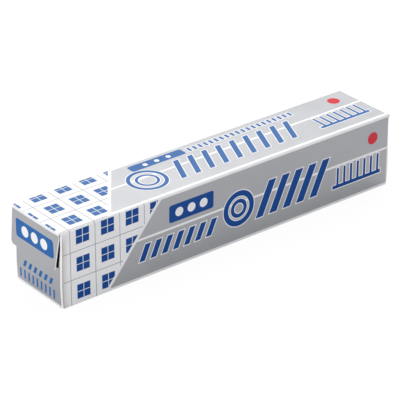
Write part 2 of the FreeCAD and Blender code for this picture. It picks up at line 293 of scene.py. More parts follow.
def makeTiles(stripe):
    # Square tiles with a four-pane window in the middle of each
    group, source, target = newGroup(
        "tiles",
        [("Across", "Float", 0.0), ("Up", "Float", 0.0), ("FirstAcross", "Float", 0.0),
         ("FirstUp", "Float", 0.0), ("PitchAcross", "Float", 21.5), ("PitchUp", "Float", 21.5),
         ("PaneMiddle", "Float", 2.95), ("PaneHalf", "Float", 2.7), ("LineHalf", "Float", 0.24)],
        [("Panes", "Float"), ("Lines", "Float"), ("Rows", "Float")])
    panes = []
    lines = []
    for place in ("Across", "Up"):
        first, pitch = f"First{place}", source[f"Pitch{place}"]
        half = times(group, pitch, 0.5)
        shifted = reckon(group, "ADD", minus(group, source[place], source[first]), half)
        within = reckon(group, "FLOORED_MODULO", shifted, pitch)
        away = reckon(group, "ABSOLUTE", minus(group, within, half))
        panes.append(maskOf(group, stripe, Position=away, Middle=source["PaneMiddle"],
                            Half=source["PaneHalf"], Soft=0.3))
        lines.append(maskOf(group, stripe, Position=away, Middle=half,
                            Half=source["LineHalf"], Soft=0.3))
    feed(group, times(group, *panes), target["Panes"])
    feed(group, reckon(group, "MAXIMUM", *lines), target["Lines"])
    feed(group, panes[1], target["Rows"])
    return group


def makeSlantedBars(stripe):
    # A row of leaning bars between two heights
    group, source, target = newGroup(
        "slantedBars",
        [("Across", "Float", 0.0), ("Up", "Float", 0.0), ("Start", "Float", 0.0),
         ("End", "Float", 10.0), ("Low", "Float", 0.0), ("High", "Float", 1.0),
         ("Pitch", "Float", 5.0), ("BarHalf", "Float", 1.0), ("Lean", "Float", 0.5)],
        [("Mask", "Float")])
    raised = minus(group, source["Up"], source["Low"])
    flat = minus(group, source["Across"], times(group, raised, source["Lean"]))
    within = reckon(group, "FLOORED_MODULO", minus(group, flat, source["Start"]), source["Pitch"])
    bars = maskOf(group, stripe, Position=within, Middle=source["BarHalf"],
                  Half=source["BarHalf"])
    masks = [maskBetween(group, stripe, place, source[low], source[high])
             for place, low, high in ((flat, "Start", "End"), (source["Up"], "Low", "High"))]
    feed(group, times(group, times(group, *masks), bars), target["Mask"])
    return group


def makeCartonLayout(stripe, tiles):
    # The tiled corner, the slanted edge beside it and the silver field with its middle line.
    # Near the end fold the windows are left out, apart from a row of dashes along it
    group, source, target = newGroup(
        "cartonLayout",
        [("Across", "Float", 0.0), ("Up", "Float", 0.0), ("FirstAcross", "Float", 18.0),
         ("FirstUp", "Float", 10.0), ("PitchAcross", "Float", 21.5),
         ("PitchUp", "Float", 21.5), ("FieldLow", "Float", 3.0),
         ("FieldHigh", "Float", 57.0), ("FieldEnd", "Float", 307.0), ("FootAcross", "Float", 41.0),
         ("Lean", "Float", 0.8), ("EdgeBand", "Float", 3.2), ("LineUp", "Float", 32.0),
         ("LineHalf", "Float", 1.0), ("DashAcross", "Float", 1.3), ("DashHalf", "Float", -2.0),
         ("LineStart", "Float", 0.0)],
        [("Silver", "Float"), ("Panes", "Float"), ("Lines", "Float")])
    raised = minus(group, source["Up"], source["FieldLow"])
    edge = reckon(group, "ADD", source["FootAcross"], times(group, raised, source["Lean"]))
    past = minus(group, source["Across"], edge)
    right = stepAt(group, past, -0.12)
    bandPast = reckon(group, "ADD", past, source["EdgeBand"])
    tiled = minus(group, 1.0, stepAt(group, bandPast, 0.0))
    field = maskBetween(group, stripe, source["Up"], source["FieldLow"], source["FieldHigh"])
    ends = stepAt(group, source["FieldEnd"], source["Across"])
    line = maskOf(group, stripe, Position=source["Up"], Middle=source["LineUp"],
                  Half=source["LineHalf"])
    silver = times(group, times(group, right, field), ends)
    silver = times(group, silver, minus(group, 1.0, line))
    squares = useGroup(group, tiles, Across=source["Across"], Up=source["Up"],
                       FirstAcross=source["FirstAcross"], FirstUp=source["FirstUp"],
                       PitchAcross=source["PitchAcross"], PitchUp=source["PitchUp"])
    clear = minus(group, source["Across"], 6.0, clamp=True)
    panes = times(group, squares["Panes"], clear)
    dash = maskOf(group, stripe, Position=source["Across"], Middle=source["DashAcross"],
                  Half=source["DashHalf"])
    panes = reckon(group, "MAXIMUM", panes, times(group, squares["Rows"], dash))
    feed(group, silver, target["Silver"])
    feed(group, times(group, panes, tiled), target["Panes"])
    started = stepAt(group, source["Across"], source["LineStart"])
    lines = times(group, squares["Lines"], started)
    feed(group, times(group, lines, tiled), target["Lines"])
    return group


def makeBoardSurface():
    # Coated board: a faint mottle, a fine fibre texture and slow waves
    group, source, target = newGroup(
        "boardSurface", [("Place", "Vector", None)],
        [("Mottle", "Float"), ("Fibre", "Float"), ("Waves", "Float")])
    for label, settings in (("Mottle", (45.0, 4.0, 0.6)),
                            ("Fibre", (900.0, 3.0, 0.6, (0.35, 1.0, 1.0))),
                            ("Waves", (14.0, 1.0, 0.4, (0.6, 1.0, 1.0)))):
        feed(group, noiseField(group, source["Place"], *settings), target[label])
    return group


def makeFoldWear():
    # Rubbed spots: strong where the fold attribute is high, broken up by noise
    group, source, target = newGroup(
        "foldWear", [("Place", "Vector", None), ("Fold", "Float", 0.0), ("Amount", "Float", 0.5)],
        [("Mask", "Float")])
    rough = noiseField(group, source["Place"], 160.0, 5.0, 0.7)
    held = times(group, source["Fold"], source["Amount"])
    raised = reckon(group, "ADD", minus(group, rough, 1.0), held)
    feed(group, times(group, raised, 6.0, clamp=True), target["Mask"])
    return group


def makeFineLines():
    # Drawn or rolled metal: long thin lines along X with uneven depth
    group, source, target = newGroup(
        "fineLines", [("Place", "Vector", None)], [("Lines", "Float"), ("Haze", "Float")])
    feed(group, noiseField(group, source["Place"], 1500.0, 2.0, 0.6, (0.012, 1.0, 1.0)),
         target["Lines"])
    feed(group, noiseField(group, source["Place"], 60.0, 3.0, 0.6), target["Haze"])
    return group


stripe = makeStripe()
roundedPlate = makeRoundedPlate()
ring = makeRing(stripe)
tiles = makeTiles(stripe)
slantedBars = makeSlantedBars(stripe)
cartonLayout = makeCartonLayout(stripe, tiles)
boardSurface = makeBoardSurface()
foldWear = makeFoldWear()
fineLines = makeFineLines()
print("shared effects ready")


# Camera, lights and floor

camera = {
    "place": (-0.88823, -1.09944, 0.76298),
    "azimuth": 38.6977,  # degrees from +Y towards +X
    "elevation": 27.6107,
    "roll": 0.0667,
    "lens": 193.678,
}
lights = {
    "ambient": 0.585,
    # Soft boxes: degrees from +Y towards +X, degrees up, metres away, size and watts
    "backBox": (39.0, 52.0, 1.7, (1.6, 1.0), 15.5),
    "sideBox": (-95.0, 28.0, 1.6, (1.0, 0.9), 7.0),
    "cornerBox": (-138.0, 24.0, 1.9, (0.5, 0.8), 1.8),
}
ground = {"half": 6.0, "colour": (219, 220, 222), "ownLight": 0.88, "glow": 1.06,
          "gap": 0.1 * mm}  # the floor lies this far under the carton


def makeCamera():
    data = bpy.data.cameras.new("photoView")
    data.lens = camera["lens"]
    data.sensor_width = 36.0
    data.clip_start = 0.05
    data.clip_end = 30.0
    view = bpy.data.objects.new("photoView", data)
    bpy.context.scene.collection.objects.link(view)
    turned = (Matrix.Rotation(-math.radians(camera["azimuth"]), 4, "Z")
              @ Matrix.Rotation(math.radians(90.0 - camera["elevation"]), 4, "X")
              @ Matrix.Rotation(math.radians(camera["roll"]), 4, "Z"))
    view.matrix_world = Matrix.Translation(camera["place"]) @ turned
    bpy.context.scene.camera = view


def makeSoftBox(name, azimuth, elevation, distance, size, power):
    # An area lamp on a sphere round the object, facing its middle
    azimuth, elevation = math.radians(azimuth), math.radians(elevation)
    data = bpy.data.lights.new(name, "AREA")
    data.shape = "RECTANGLE"
    data.size, data.size_y = size
    data.energy = power
    lamp = bpy.data.objects.new(name, data)
    bpy.context.scene.collection.objects.link(lamp)
    # The lamp shines along its own -Z, so it is set back along +Z from the middle
    turned = (Matrix.Rotation(math.pi - azimuth, 4, "Z")
              @ Matrix.Rotation(quarterTurn - elevation, 4, "X"))
    lamp.matrix_world = (Matrix.Translation((0.0, 0.0, 0.03)) @ turned
                         @ Matrix.Translation((0.0, 0.0, distance)))


def makeSurroundings():
    world = bpy.data.worlds.new("studio")
    bpy.context.scene.world = world
    world.use_nodes = True
    tree = world.node_tree
    tree.nodes.clear()
    seen = tree.nodes.new("ShaderNodeBackground")
    seen.inputs["Strength"].default_value = 1.0
    seen.inputs["Color"].default_value = (1.0, 1.0, 1.0, 1.0)
    around = tree.nodes.new("ShaderNodeBackground")
    around.inputs["Strength"].default_value = lights["ambient"]
    around.inputs["Color"].default_value = (1.0, 1.0, 1.0, 1.0)
    rays = tree.nodes.new("ShaderNodeLightPath")
    mix = tree.nodes.new("ShaderNodeMixShader")
    feed(tree, rays.outputs["Is Camera Ray"], mix.inputs[0])
    feed(tree, around.outputs[0], mix.inputs[1])
    feed(tree, seen.outputs[0], mix.inputs[2])
    feed(tree, mix.outputs[0], tree.nodes.new("ShaderNodeOutputWorld").inputs["Surface"])


def makeGround():
    # The floor takes the shadow, and its own light brings it up to white for the camera
    half = ground["half"]
    spread = np.linspace(-half, half, 3)
    across, deep = np.meshgrid(spread, spread)
    level = np.full_like(across, -ground["gap"])
    mesh = gridMesh("floor", np.stack([across, deep, level], axis=-1))
    floor = bpy.data.objects.new("floor", mesh)
    bpy.context.scene.collection.objects.link(floor)
    material, tree, inputs, place = newMaterial("paleFloor")
    mottle = noiseField(tree, place, 3.0, 2.0)
    pale = linearColour(*ground["colour"])
    deeper = tuple(0.97 * part for part in pale[:3]) + (1.0,)
    feed(tree, mixColours(tree, mottle, pale, deeper), inputs["Base Color"])
    inputs["Roughness"].default_value = 0.9
    inputs["Specular IOR Level"].default_value = 0.1
    glow = tree.nodes.new("ShaderNodeEmission")
    glow.inputs["Color"].default_value = (1.0, 1.0, 1.0, 1.0)
    glow.inputs["Strength"].default_value = ground["glow"]
    rays = tree.nodes.new("ShaderNodeLightPath")
    share = times(tree, rays.outputs["Is Camera Ray"], ground["ownLight"])
    mix = tree.nodes.new("ShaderNodeMixShader")
    feed(tree, share, mix.inputs[0])
    feed(tree, tree.nodes["Principled BSDF"].outputs[0], mix.inputs[1])
    feed(tree, glow.outputs[0], mix.inputs[2])
    feed(tree, mix.outputs[0], tree.nodes["Material Output"].inputs["Surface"])
    mesh.materials.append(material)


makeCamera()
makeSurroundings()
makeGround()
for label in ("backBox", "sideBox", "cornerBox"):
    makeSoftBox(label, *lights[label])
bpy.context.scene.view_settings.view_transform = "Standard"
print("camera, lights and floor ready")


# Print on the carton. Places are in millimetres on each face

inks = {  # as seen on a screen, from 0 to 255
    "white": (250, 250, 252),
    "silver": (188, 189, 192),
    "blue": (12, 74, 152),
    "paleBlue": (68, 114, 176),
    "brightBlue": (34, 104, 176),
    "tileLine": (142, 145, 152),
    "red": (220, 58, 70),
    "rubbed": (232, 230, 226),
    # painted crease shade: a brownish grey for the darkened line in the scored upright fold
    "crease": (150, 136, 126),
}
# Dots and discs hold (across, up, radius), rings (across, up, radius, half width)
scaleBars = [dict(Start=256.0, End=299.0, Low=14.0, High=30.0, Pitch=6.8, BarHalf=1.1, Lean=0.0),
             dict(Start=252.0, End=301.0, Low=13.0, High=16.0, Pitch=90.0, BarHalf=45.0, Lean=0.0)]
frontPrint = {
    "layout": dict(FirstAcross=19.4, FirstUp=9.6, PitchAcross=21.5, PitchUp=21.7, FieldLow=2.2,
                   FieldHigh=58.0, FieldEnd=307.6, FootAcross=42.0, Lean=0.83, EdgeBand=3.2,
                   LineUp=32.0, LineHalf=0.9, LineStart=2.3),
    "plate": dict(MiddleAcross=115.75, MiddleUp=43.25, HalfWidth=20.35, HalfHeight=7.05,
                  Radius=2.0),
    "dots": [(104.6, 43.2, 3.6), (115.75, 43.2, 3.6), (126.9, 43.2, 3.6)],
    "rings": [(160.0, 27.5, 12.2, 2.2), (160.0, 27.5, 6.0, 1.6)],
    "bars": [dict(Start=176.0, End=236.0, Low=13.5, High=41.5, Pitch=13.2, BarHalf=3.6, Lean=0.45),
             dict(Start=68.0, End=134.0, Low=14.0, High=27.0, Pitch=10.13, BarHalf=2.6, Lean=0.45),
             *scaleBars],
    "redDisc": (292.0, 44.5, 5.0),
    "halo": 0.75,  # white, round the bars and rings
}
topPrint = {
    "layout": dict(FirstAcross=19.3, FirstUp=12.1, PitchAcross=21.6, PitchUp=21.15, FieldLow=3.4,
                   FieldHigh=55.4, FieldEnd=307.4, FootAcross=46.6, Lean=0.745, EdgeBand=3.2,
                   LineUp=32.2, LineHalf=1.1, DashAcross=1.35, DashHalf=0.95),
    "plate": dict(MiddleAcross=121.25, MiddleUp=48.15, HalfWidth=24.65, HalfHeight=4.25,
                  Radius=2.0),
    "dots": [(110.6, 48.15, 2.0), (121.25, 48.15, 2.0), (131.9, 48.15, 2.0)],
    "rings": [(97.0, 27.5, 14.0, 1.5), (97.0, 27.5, 8.0, 1.1)],
    "bars": [dict(Start=118.0, End=228.0, Low=14.0, High=40.0, Pitch=13.15, BarHalf=2.4, Lean=0.45),
             dict(Start=150.0, End=250.0, Low=45.0, High=50.5, Pitch=5.137, BarHalf=1.2, Lean=0.0),
             *scaleBars],
    "redDisc": (291.0, 44.5, 5.0),
    "halo": 0.75,
}
endPrint = {
    "plate": dict(MiddleAcross=30.8, MiddleUp=44.05, HalfWidth=22.6, HalfHeight=7.35, Radius=2.5),
    "dots": [(19.3, 44.05, 4.2), (30.8, 44.05, 4.2), (42.3, 44.05, 4.2)],
    "bars": [dict(Start=13.0, End=48.0, Low=14.5, High=20.0, Pitch=6.36, BarHalf=1.6, Lean=-0.45),
             dict(Start=9.0, End=52.0, Low=4.5, High=11.5, Pitch=5.125, BarHalf=1.0, Lean=0.0)],
    "fieldLow": 2.1, "fieldHigh": 57.6, "paneFoot": 59.6, "panePitch": 20.9, "paneFirst": 8.8,
}


def facePlace(tree, place, across, up, acrossStart, upStart, acrossSign=1.0):
    # Millimetres across and up on one face, from the object's own coordinates
    parts = tree.nodes.new("ShaderNodeSeparateXYZ")
    feed(tree, place, parts.inputs[0])
    first = reckon(tree, "MULTIPLY_ADD", parts.outputs[across], 1000.0 * acrossSign, acrossStart)
    second = reckon(tree, "MULTIPLY_ADD", parts.outputs[up], 1000.0, upStart)
    return first, second


printFinish = {
    "wear": 0.5,
    "mottle": (0.965, 1.02),  # how far the tone wanders
    "metal": 0.6,  # how metallic the silver ink is
    "roughness": (0.36, 0.46),
    "shine": (0.4, 0.12),  # bare board, and board under blue or red ink
    "waves": 0.35,
    "fibre": 0.22,
}


def finishPrint(tree, inputs, place, colour, silver, inked):
    # Silver ink is half metallic, the blue is matt; folds are rubbed pale, a scored crease
    # shows as a thin brownish line with painted crease shade, and a cut edge has a bare margin
    surface = useGroup(tree, boardSurface, Place=place)
    fold = tree.nodes.new("ShaderNodeAttribute")
    fold.attribute_name = "fold"
    rubbed = maskOf(tree, foldWear, Place=place, Fold=fold.outputs["Fac"],
                    Amount=printFinish["wear"])
    shade = remap(tree, surface["Mottle"], 0.3, 0.7, *printFinish["mottle"])
    toned = tree.nodes.new("ShaderNodeVectorMath")
    toned.operation = "SCALE"
    feed(tree, colour, toned.inputs[0])
    feed(tree, shade, toned.inputs["Scale"])
    colour = mixColours(tree, rubbed, toned.outputs[0], linearColour(*inks["rubbed"]))
    # painted crease shade: the crease attribute darkens the print to a brownish grey
    scoreLineAndShade = tree.nodes.new("ShaderNodeAttribute")
    scoreLineAndShade.attribute_name = "crease"
    colour = mixColours(tree, scoreLineAndShade.outputs["Fac"], colour, linearColour(*inks["crease"]))
    bare = tree.nodes.new("ShaderNodeAttribute")
    bare.attribute_name = "bare"
    colour = mixColours(tree, bare.outputs["Fac"], colour, linearColour(*inks["white"]))
    feed(tree, colour, inputs["Base Color"])
    unrubbed = minus(tree, 1.0, reckon(tree, "MAXIMUM", rubbed, bare.outputs["Fac"]))
    metal = times(tree, times(tree, silver, printFinish["metal"]), unrubbed)
    feed(tree, metal, inputs["Metallic"])
    base = remap(tree, surface["Mottle"], 0.2, 0.8, *printFinish["roughness"])
    feed(tree, reckon(tree, "MULTIPLY_ADD", rubbed, 0.3, base), inputs["Roughness"])
    feed(tree, remap(tree, inked, 0.0, 1.0, *printFinish["shine"]), inputs["Specular IOR Level"])
    inputs["Coat Weight"].default_value = 0.04
    inputs["Coat Roughness"].default_value = 0.22
    waves = bumpNormal(tree, surface["Waves"], printFinish["waves"], 0.002)
    normal = bumpNormal(tree, surface["Fibre"], printFinish["fibre"], 0.00006, waves)
    feed(tree, normal, inputs["Normal"])


def drawMotifs(tree, across, up, design, extra):
    # The mask of a face's bars and rings, made wider by extra millimetres all round
    masks = []
    for bars in design["bars"]:
        grown = dict(bars)
        slide = extra * bars["Lean"]
        grown.update(Start=bars["Start"] - extra - slide, End=bars["End"] + extra - slide,
                     Low=bars["Low"] - extra, High=bars["High"] + extra,
                     BarHalf=bars["BarHalf"] + extra)
        masks.append(maskOf(tree, slantedBars, Across=across, Up=up, **grown))
    masks += [maskOf(tree, ring, Across=across, Up=up, MiddleAcross=middle, MiddleUp=height,
                     Radius=radius, Half=half + extra)
              for middle, height, radius, half in design.get("rings", [])]
    drawn = masks[0]
    for mask in masks[1:]:
        drawn = reckon(tree, "MAXIMUM", drawn, mask)
    return drawn


def addMotifs(tree, across, up, colour, silver, design, blue):
    # Plain shapes printed over the field: bars and rings with a white halo, a plate with
    # dots, a disc
    halo = design.get("halo", 0.0)
    if halo:
        around = drawMotifs(tree, across, up, design, halo)
        colour = mixColours(tree, around, colour, linearColour(*inks["white"]))
        silver = times(tree, silver, minus(tree, 1.0, around))
    printed = drawMotifs(tree, across, up, design, 0.0)
    plate = maskOf(tree, roundedPlate, Across=across, Up=up, **design["plate"])
    printed = reckon(tree, "MAXIMUM", printed, plate)
    colour = mixColours(tree, printed, colour, linearColour(*inks[blue]))
    for middle, height, radius in design["dots"]:
        dot = maskOf(tree, ring, Across=across, Up=up, MiddleAcross=middle, MiddleUp=height,
                     Radius=0.0, Half=radius)
        colour = mixColours(tree, dot, colour, linearColour(*inks["white"]))
    if "redDisc" in design:
        middle, height, radius = design["redDisc"]
        disc = maskOf(tree, ring, Across=across, Up=up, MiddleAcross=middle, MiddleUp=height,
                      Radius=0.0, Half=radius)
        colour = mixColours(tree, disc, colour, linearColour(*inks["red"]))
        printed = reckon(tree, "MAXIMUM", printed, disc)
    silver = times(tree, silver, minus(tree, 1.0, printed))
    return colour, silver, printed


def makeLongPrint(name, design, blue, up, upStart, acrossSign=1.0):
    # A long face: tiles and windows, then the silver field and the motifs on it
    material, tree, inputs, place = newMaterial(name)
    across, height = facePlace(tree, place, "X", up, 155.0, upStart, acrossSign)
    layout = useGroup(tree, cartonLayout, Across=across, Up=height, **design["layout"])
    white = linearColour(*inks["white"])
    colour = mixColours(tree, layout["Lines"], white, linearColour(*inks["tileLine"]))
    colour = mixColours(tree, layout["Panes"], colour, linearColour(*inks[blue]))
    colour = mixColours(tree, layout["Silver"], colour, linearColour(*inks["silver"]))
    colour, silver, printed = addMotifs(tree, across, height, colour, layout["Silver"], design,
                                        blue)
    inked = reckon(tree, "MAXIMUM", printed, layout["Panes"])
    finishPrint(tree, inputs, place, colour, silver, inked)
    return material


def makeEndPrint():
    # An end: silver below a white band, with the tiles' windows reaching over the fold
    material, tree, inputs, place = newMaterial("endPrint")
    across, height = facePlace(tree, place, "Y", "Z", 30.2, 0.0)
    middle = (endPrint["fieldLow"] + endPrint["fieldHigh"]) / 2
    half = (endPrint["fieldHigh"] - endPrint["fieldLow"]) / 2
    silver = maskOf(tree, stripe, Position=height, Middle=middle, Half=half)
    squares = useGroup(tree, tiles, Across=across, Up=across, FirstAcross=endPrint["paneFirst"],
                       FirstUp=endPrint["paneFirst"], PitchAcross=endPrint["panePitch"],
                       PitchUp=endPrint["panePitch"])
    over = stepAt(tree, height, endPrint["paneFoot"])
    panes = times(tree, squares["Panes"], over)
    colour = mixColours(tree, silver, linearColour(*inks["white"]), linearColour(*inks["silver"]))
    colour = mixColours(tree, panes, colour, linearColour(*inks["blue"]))
    colour, silver, printed = addMotifs(tree, across, height, colour, silver, endPrint,
                                        "brightBlue")
    finishPrint(tree, inputs, place, colour, silver, reckon(tree, "MAXIMUM", printed, panes))
    return material


def makePlainBoard(name, colour, deeper, fibreScale, roughness, flecks=0.0):
    # Uncoated or plain board: fibres lie mostly along the roll, with a few dark flecks
    material, tree, inputs, place = newMaterial(name)
    fibres = noiseField(tree, place, fibreScale, 5.0, 0.65, (0.25, 1.0, 1.0))
    cloud = noiseField(tree, place, 40.0, 3.0, 0.6)
    tone = mixColours(tree, remap(tree, fibres, 0.3, 0.7), linearColour(*colour),
                      linearColour(*deeper))
    tone = mixColours(tree, remap(tree, cloud, 0.35, 0.75, 0.0, 0.45), tone, linearColour(*deeper))
    if flecks:
        specks = noiseField(tree, place, fibreScale * 1.7, 2.0, 0.5)
        dark = remap(tree, specks, 0.69, 0.74, 0.0, flecks)
        tone = mixColours(tree, dark, tone, linearColour(96, 84, 70))
    feed(tree, tone, inputs["Base Color"])
    rough = remap(tree, fibres, 0.2, 0.8, roughness - 0.06, roughness + 0.06)
    feed(tree, rough, inputs["Roughness"])
    inputs["Specular IOR Level"].default_value = 0.3
    feed(tree, bumpNormal(tree, fibres, 0.5, 0.00012), inputs["Normal"])
    return material


frontMaterial = makeLongPrint("frontPrint", frontPrint, "blue", "Z", 0.0)
topMaterial = makeLongPrint("topPrint", topPrint, "paleBlue", "Y", 30.2)
farMaterial = makeLongPrint("farPrint", frontPrint, "blue", "Z", 0.0, -1.0)
endMaterial = makeEndPrint()
whiteBoard = makePlainBoard("whiteBoard", (246, 246, 246), (236, 236, 234), 500.0, 0.5)
insideBoard = makePlainBoard("insideBoard", (196, 188, 174), (172, 162, 146), 420.0, 0.85, 0.5)
cutBoard = makePlainBoard("cutBoard", (240, 238, 232), (214, 209, 198), 1100.0, 0.9)
print("carton print ready")


# Carton body: one blank, folded by a function

carton = {
    "board": 0.4 * mm,
    "longFold": 0.7 * mm,
    "uprightFold": 1.3 * mm,
    "hingeFold": 2.0 * mm,  # the crease along the hinge is soft
    "lip": 2.5 * mm,  # beside each upright fold, narrowing to nothing towards the top
    "lipTop": 48.0 * mm,
    "flapTop": 29.5 * mm,
    "flapGap": 2.0 * mm,
    "flapFoot": 0.7 * mm,
    "endTop": 31.0 * mm,
    "nearInset": 2.2 * mm,
    "farInset": 0.2 * mm,
    "endTaper": 1.0 * mm,
    "taperTop": 6.0 * mm,
    "openingDrop": 0.8 * mm,
    # The free upright folds are bowed: height and how far outwards, in millimetres
    "bow": [(0.0, 0.3), (2.0, 0.45), (9.0, 0.95), (19.0, 1.0), (30.0, 0.67), (42.0, 0.17),
            (50.0, 0.0)],
    "bowRun": 14.0 * mm,  # how far along the wall the bow fades
    "freeRun": 3.0 * mm,  # above the end panel the lip comes free over this height
    "heldRun": 0.9 * mm,  # beside the fold the glued flap is held flat
    "sag": 0.35 * mm,  # the long walls are drawn in a little between the ends
    "wearRun": 1.2 * mm,
    "scoreAndShadeHalf": 0.4 * mm,  # half the width of the brown score line with its painted crease shade
    "scoreAndShadeFade": 9.0 * mm,  # it fades below the top
    "scoreAndShade": 0.85,
    "edgeRounding": 0.07 * mm,
    "grid": 4.0 * mm,
}


def addValues(mesh, name, values):
    attribute = mesh.attributes.new(name, "FLOAT", "POINT")
    attribute.data.foreach_set("value", values.astype(np.float32))


def vertexPlaces(mesh):
    places = np.empty(len(mesh.vertices) * 3)
    mesh.vertices.foreach_get("co", places)
    return places.reshape(-1, 3)


def makeCartonBody():
    low, high = (np.array(corner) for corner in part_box("carton_body"))
    fold = carton["longFold"]
    corner = carton["uprightFold"]
    top = high[2]
    middle = (low[1] + high[1]) / 2
    floorHalf = (high[1] - low[1]) / 2 - fold
    arc = fold * quarterTurn
    wallStart = high[0] - carton["board"] - corner
    endStart = high[0] - fold
    cornerArc = corner * quarterTurn
    flapLength = floorHalf + fold - corner - carton["flapGap"] / 2
    panelNear, panelFar = (floorHalf + fold - carton[key] - carton["endTaper"]
                           for key in ("nearInset", "farInset"))
    crease = carton["hingeFold"]
    openingReach = arc + (top - carton["openingDrop"] - fold)
    heights = arc + np.array([0.0, beside, carton["flapTop"] - fold, top - fold - crease - beside,
                              top - fold - crease])
    # Rows run down the hinge wall, across the floor and up the opening wall
    curl = np.linspace(0.0, crease * math.pi / 4, 7) + heights[-1]
    foot = np.linspace(0, arc, 6)
    hingeRows = np.concatenate([stepsBetween(heights, carton["grid"]), curl, foot])
    openingRows = np.concatenate([
        stepsBetween(np.append(heights[:3], openingReach), carton["grid"]), foot])
    nearRows, farRows = (stepsBetween([0.0, reach - beside, reach, floorHalf - beside, floorHalf],
                                      carton["grid"]) for reach in (panelNear, panelFar))
    rows = np.unique(np.round(np.concatenate([
        -(floorHalf + hingeRows), -nearRows, farRows, floorHalf + openingRows]), 8))
    # Columns run along the roll, then over the folds into dust flaps and end panels
    panelUp = endStart + arc - fold
    stops = [0.0, wallStart - beside, wallStart]
    past = np.concatenate([
        wallStart + np.linspace(0, cornerArc, 8),
        endStart + foot,
        wallStart + cornerArc + stepsBetween([0.0, beside, carton["heldRun"], carton["lip"],
                                              flapLength], 3.0 * mm),
        stepsBetween([endStart + arc, panelUp + carton["taperTop"], panelUp + carton["endTop"]],
                     3.0 * mm)])
    columns = mirrored(np.unique(np.round(np.concatenate([stepsBetween(stops, carton["grid"]),
                                                          past]), 8)))
    side = np.where(rows < 0, -1.0, 1.0)[:, None]
    end = np.where(columns < 0, -1.0, 1.0)[None, :]
    over = np.abs(rows)[:, None] - floorHalf
    along, up = rollOver(over, fold)
    # The hinge wall's top edge curls in towards the crease of the lid
    curled = np.clip((up - (top - crease)) / crease, 0.0, math.pi / 4) * (side < 0)
    up = np.where(curled > 0, top - crease + crease * np.sin(curled), up)
    across = middle + side * (floorHalf + along - crease * (1.0 - np.cos(curled)))
    wallPast = np.abs(columns)[None, :] - wallStart
    wallOut, wallIn = rollOver(wallPast, corner)
    # Above the dust flaps only a lip is left, cut at a slant
    narrowing = np.clip((carton["lipTop"] - up) / (carton["lipTop"] - carton["flapTop"]), 0.05, 1.0)
    wallIn = wallIn - np.maximum(wallPast - cornerArc, 0.0) * (1.0 - narrowing)
    endOut, endUp = rollOver(np.abs(columns)[None, :] - endStart, fold)
    isWall = over > arc - 1e-7
    isFloor = over < 1e-7
    panelReach = np.where(rows < 0, panelNear, panelFar)[:, None]
    grow = 1.0 + carton["endTaper"] / panelReach * np.clip(endUp / carton["taperTop"], 0.0, 1.0)
    x = np.where(isFloor, end * (endStart + endOut), end * (wallStart + wallOut))
    y = np.where(isFloor, middle + (across - middle) * grow, across - side * wallIn)
    z = np.where(isFloor, endUp, up + 0.0 * wallIn)
    # Slow shapes: walls drawn in along the middle, free upright folds bowed outwards
    slack = np.clip(1.0 - (x / wallStart) ** 2, 0.0, 1.0) * np.sin(np.pi * np.clip(z / top, 0, 1))
    y = y - np.where(isWall, side * carton["sag"] * slack, 0.0)
    outward = np.interp(z / mm, *zip(*carton["bow"])) * mm
    free = smoothStep((z - carton["endTop"]) / carton["freeRun"])
    held = smoothStep((wallPast - cornerArc) / carton["heldRun"]) * (1.0 - free)
    zone = smoothStep(wallPast / carton["bowRun"] + 1.0) * (1.0 - held)
    x = x + np.where(isFloor, 0.0, end * outward * zone)
    points = np.stack(np.broadcast_arrays(x, y, z), axis=-1)

    rowMiddle = (rows[:-1] + rows[1:])[:, None] / 2
    columnMiddle = np.abs(columns[:-1] + columns[1:])[None, :] / 2
    cellOver = np.abs(rowMiddle) - floorHalf
    cellUp = cellOver - arc + fold
    wallCell = cellOver > arc
    foldCell = (cellOver > 0) & ~wallCell
    floorCell = cellOver < 0
    straight = columnMiddle < wallStart
    lipCell = columnMiddle < wallStart + cornerArc + carton["lip"]
    flapCell = columnMiddle < wallStart + cornerArc + flapLength
    keep = (straight | (floorCell & (rowMiddle > -panelNear) & (rowMiddle < panelFar)
                        & (columnMiddle < panelUp + carton["endTop"]))
            | (wallCell & (lipCell | (flapCell & (cellUp < carton["flapTop"])))))
    slots = np.where(floorCell & (columnMiddle > endStart + arc / 2), 1, 2) + 0 * cellOver
    printEdge = wallStart + cornerArc + beside
    slots = np.where((rowMiddle < 0) & (cellOver > arc / 2) & (columnMiddle < printEdge), 0, slots)
    slots = np.where(wallCell & (columnMiddle > printEdge), 1, slots).astype(int)
    mesh = gridMesh("cartonBody", points, keep, slots, flip=True)
    # Folds are rubbed: the attribute is 1 on an arc and falls away beside it. The left
    # fold of the hinge wall also shows its score as a brownish line with painted crease shade
    place = vertexPlaces(mesh)
    toFoot = np.where(np.abs(place[:, 1] - middle) > floorHalf, place[:, 2], 1.0)
    toCorner = np.abs(np.abs(place[:, 0]) - (wallStart + corner * 0.5))
    away = np.minimum(np.minimum(toFoot, toCorner), np.abs(top - place[:, 2]))
    addValues(mesh, "fold", np.exp(-away / carton["wearRun"]))
    # The brownish score line, darkened as painted crease shade, follows the bowed fold on the left
    # end only
    pushed = np.interp(place[:, 2] / mm, *zip(*carton["bow"])) * mm
    toCrease = np.abs(np.abs(place[:, 0]) - wallStart - pushed - 0.1 * mm)
    scoreLineAndShade = np.clip(1.4 - toCrease / carton["scoreAndShadeHalf"], 0.0, 1.0)
    scoreLineAndShade = scoreLineAndShade * smoothStep((top - place[:, 2]) / carton["scoreAndShadeFade"])
    scoreLineAndShade = scoreLineAndShade * (place[:, 1] < middle - floorHalf) * (place[:, 0] < 0)
    addValues(mesh, "crease", carton["scoreAndShade"] * scoreLineAndShade)
    piece = addPiece("cartonBody", mesh,
                     [frontMaterial, endMaterial, whiteBoard, insideBoard, insideBoard, insideBoard,
                      cutBoard], "carton", "carton_body")
    thicken(piece, 3, 6)
    return piece


